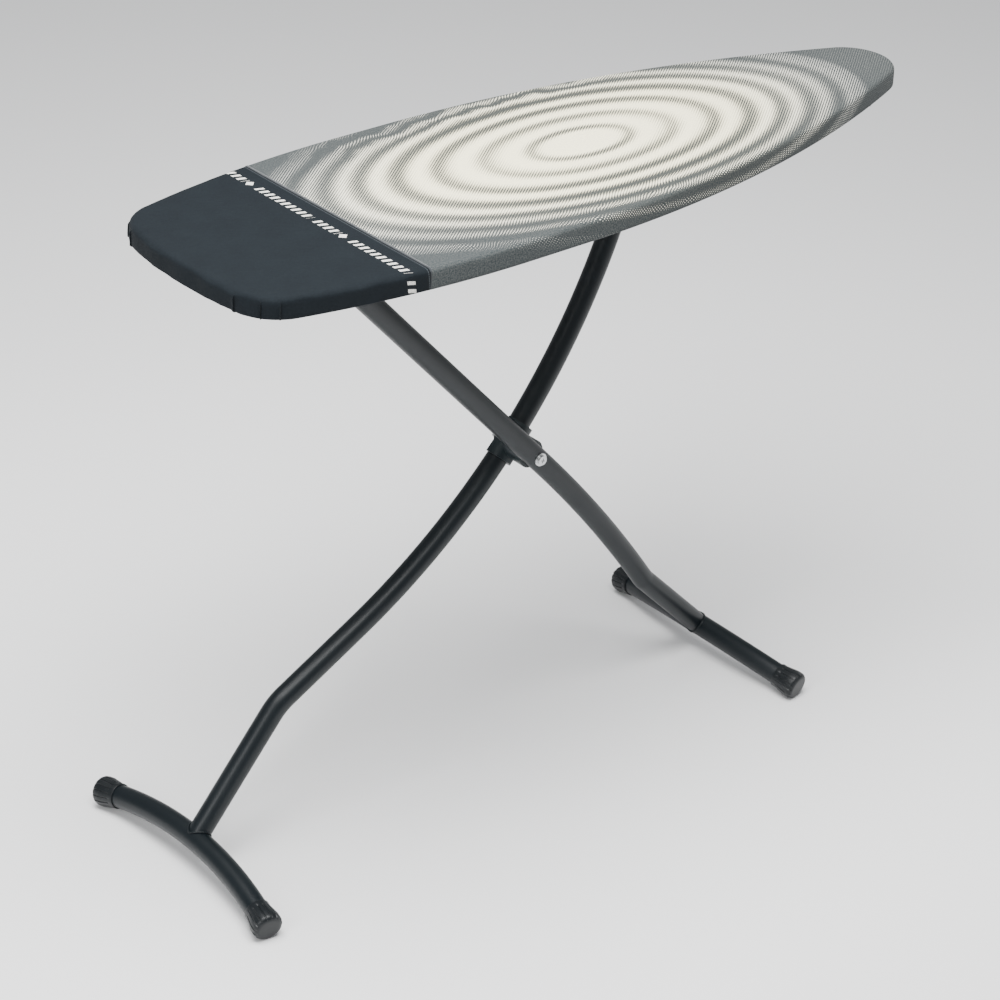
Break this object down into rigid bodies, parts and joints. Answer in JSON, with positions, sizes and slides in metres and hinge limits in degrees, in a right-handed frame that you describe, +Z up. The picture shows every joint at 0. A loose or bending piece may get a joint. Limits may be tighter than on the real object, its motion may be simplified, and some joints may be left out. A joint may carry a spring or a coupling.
{
  "type": "ironing board",
  "caption": "Free-standing folding ironing board: padded printed top with a square end and a round nose, on two crossed curved tube legs with bowed foot bars and a height latch.",
  "frame": {"origin": "On the floor, under the middle of the whole part's box at its highest setting", "axes": "+X along the board towards the round nose, +Y across it towards the release lever's side, +Z up"},
  "size_m": [1.3859, 0.4492, 1],
  "materials": {
    "printed_cotton": "printed woven cotton",
    "heat_zone_cloth": "dark heat-resistant woven cloth",
    "seam_tape": "dark seam tape",
    "pad_felt": "foam and felt underlay",
    "plate_steel": "plain perforated sheet",
    "frame_paint": "satin powder coat",
    "tube_paint": "satin anthracite powder coat",
    "zinc_steel": "zinc plated",
    "black_plastic": "fine moulded grain",
    "saddle_plastic": "smooth dark moulding"
  },
  "bodies": {
    "board": {"cover_main": "printed_cotton", "cover_heat_zone": "heat_zone_cloth", "seam_tape": "seam_tape", "foam_pad": "pad_felt", "top_plate": "plate_steel", "rim_frame": "frame_paint", "slide_channel": "frame_paint", "end_brace": "frame_paint", "middle_brace": "frame_paint", "nose_brace": "frame_paint", "leg_bracket": "frame_paint", "bracket_rivets": "zinc_steel", "hinge_pin": "zinc_steel", "hinge_nut": "zinc_steel", "hinge_bush_near": "black_plastic", "hinge_bush_far": "black_plastic", "lever_bearing_near": "frame_paint", "lever_bearing_far": "frame_paint", "lever_spring": "zinc_steel"},
    "front_leg": {"front_leg_tube": "tube_paint", "front_foot_bar": "tube_paint", "front_cap_near": "black_plastic", "front_cap_far": "black_plastic", "front_sleeve": "tube_paint", "front_saddle": "black_plastic", "pivot_washer": "zinc_steel", "pivot_bolt": "zinc_steel", "pivot_nut": "zinc_steel"},
    "rear_leg": {"rear_leg_tube": "tube_paint", "rear_foot_bar": "tube_paint", "rear_cap_near": "black_plastic", "rear_cap_far": "black_plastic", "rear_sleeve": "tube_paint", "rear_saddle": "saddle_plastic", "pivot_bush": "black_plastic", "pivot_flange": "black_plastic"},
    "carriage": {"slide_axle": "zinc_steel", "glide_block": "black_plastic", "axle_spacer": "black_plastic", "axle_clip_near": "zinc_steel", "axle_clip_far": "zinc_steel"},
    "lever": {"lever_rod": "zinc_steel", "latch_plate": "frame_paint", "lever_arm_bar": "frame_paint", "lever_grip": "black_plastic"}
  },
  "joints": [
    {"name": "leg_fold", "type": "hinge", "parent": "board", "child": "front_leg", "pos_m": [-0.40348, -0.05506, 0.91], "axis": [0, -1, 0], "range_deg": [0, 37.8]},
    {"name": "centre_pivot", "type": "hinge", "parent": "front_leg", "child": "rear_leg", "pos_m": [-0.03404, 0, 0.516], "axis": [0, -1, 0], "range_deg": [-83.54, 0]},
    {"name": "carriage_hinge", "type": "hinge", "parent": "rear_leg", "child": "carriage", "pos_m": [0.22514, 0, 0.942], "axis": [0, -1, 0], "range_deg": [0, 45.74]},
    {"name": "release_lever", "type": "hinge", "parent": "board", "child": "lever", "pos_m": [0.05714, 0, 0.948], "axis": [0, 1, 0], "range_deg": [0, 8], "stiffness_Nm_per_rad": 2, "springref_deg": -28.65}
  ],
  "couplings": [
    {"joint": "centre_pivot", "follows": "leg_fold", "ratio": -2.21},
    {"joint": "carriage_hinge", "follows": "leg_fold", "ratio": 1.21}
  ]
}
